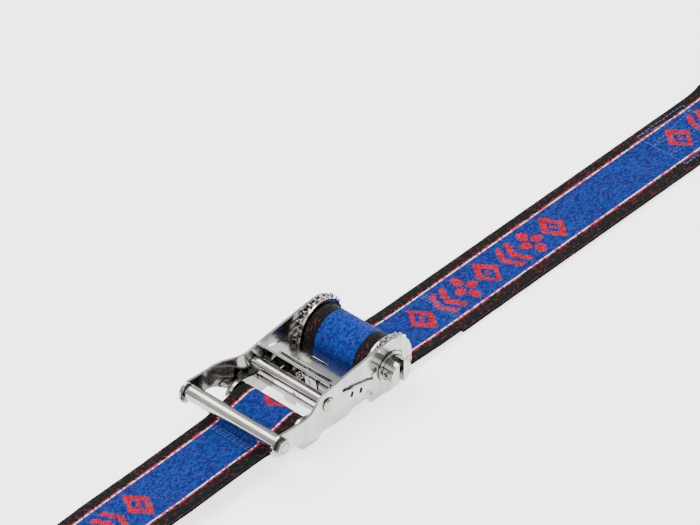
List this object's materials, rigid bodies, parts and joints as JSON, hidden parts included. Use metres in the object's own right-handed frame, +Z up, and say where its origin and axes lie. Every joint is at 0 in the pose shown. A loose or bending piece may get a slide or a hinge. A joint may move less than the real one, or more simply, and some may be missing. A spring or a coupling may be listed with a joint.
{
  "type": "ratchet tie down",
  "caption": "Ratchet tie-down strap: closed stainless ratchet, patterned blue webbing on both sides and a black coated S-hook at each end.",
  "frame": {"origin": "below the drum axis, on the surface that the strap lies on, in the middle of the part's length and width", "axes": "+X from the fixed strap towards the long strap, +Y across the webbing, +Z up; positive drum_spin winds the long strap in"},
  "size_m": [0.7408, 0.0642, 0.0346],
  "materials": {
    "plate_steel": "mirror-polished stamped stainless steel with fine scratches",
    "fastener_steel": "polished stainless steel",
    "grip_steel": "polished stainless tube",
    "drum_steel": "polished stainless steel",
    "pawl_steel": "polished stainless steel",
    "spring_steel": "drawn spring wire",
    "webbing": "woven polyester, royal blue with black edges, red and white lines and red motifs",
    "hook_coating": "steel rod dipped in black vinyl, smooth and slightly glossy"
  },
  "bodies": {
    "base": {"base_plate_left": "plate_steel", "base_plate_right": "plate_steel", "base_spacer_plate": "plate_steel", "base_pawl_spring": "spring_steel", "anchor_bolt": "fastener_steel", "anchor_sleeve": "fastener_steel", "anchor_nut": "fastener_steel"},
    "drum": {"drum_shaft_front": "drum_steel", "drum_shaft_rear": "drum_steel", "wound_webbing": "webbing", "ratchet_wheel_left": "drum_steel", "ratchet_wheel_right": "drum_steel", "drum_washer_left": "fastener_steel", "drum_washer_right": "fastener_steel", "cotter_pin_left": "spring_steel", "cotter_pin_right": "spring_steel"},
    "handle": {"handle_plate_left": "plate_steel", "handle_plate_right": "plate_steel", "handle_cross_rod": "fastener_steel", "grip_tube": "grip_steel", "grip_bolt": "fastener_steel", "grip_nut": "fastener_steel", "handle_pawl_spring": "spring_steel"},
    "release_pawl": {"handle_pawl": "pawl_steel"},
    "lock_pawl": {"base_pawl": "pawl_steel"},
    "fixed_strap": {"fixed_webbing": "webbing"},
    "fixed_end": {"fixed_hook": "hook_coating"},
    "long_strap": {"long_webbing": "webbing"},
    "long_end": {"long_hook": "hook_coating"}
  },
  "joints": [
    {"name": "handle_swing", "type": "hinge", "parent": "base", "child": "handle", "pos_m": [0, 0, 0.0185], "axis": [0, 1, 0], "range_deg": [0, 165]},
    {"name": "drum_spin", "type": "hinge", "parent": "base", "child": "drum", "pos_m": [0, 0, 0.0185], "axis": [0, 1, 0], "continuous": true},
    {"name": "release_slide", "type": "slide", "parent": "handle", "child": "release_pawl", "axis": [-0.969, 0, 0.247], "range_m": [0, 0.004], "stiffness_N_per_m": 500, "springref_m": -0.006, "deforming": ["handle_pawl_spring"]},
    {"name": "lock_slide", "type": "slide", "parent": "base", "child": "lock_pawl", "axis": [-0.9857, 0, -0.1685], "range_m": [0, 0.004], "stiffness_N_per_m": 500, "springref_m": -0.006, "deforming": ["base_pawl_spring"]},
    {"name": "fixed_strap_swing", "type": "hinge", "parent": "base", "child": "fixed_strap", "pos_m": [-0.056, 0, 0.0117], "axis": [0, 1, 0], "range_deg": [0, 4]},
    {"name": "fixed_hook_swing", "type": "hinge", "parent": "fixed_strap", "child": "fixed_end", "pos_m": [-0.2926, 0, 0.0066], "axis": [0, 1, 0], "range_deg": [0, 90]},
    {"name": "long_strap_swing", "type": "hinge", "parent": "base", "child": "long_strap", "pos_m": [0, 0, 0.0185], "axis": [0, -1, 0], "range_deg": [0, 10]},
    {"name": "long_hook_swing", "type": "hinge", "parent": "long_strap", "child": "long_end", "pos_m": [0.2926, 0, 0.0066], "axis": [0, -1, 0], "range_deg": [0, 90]}
  ]
}
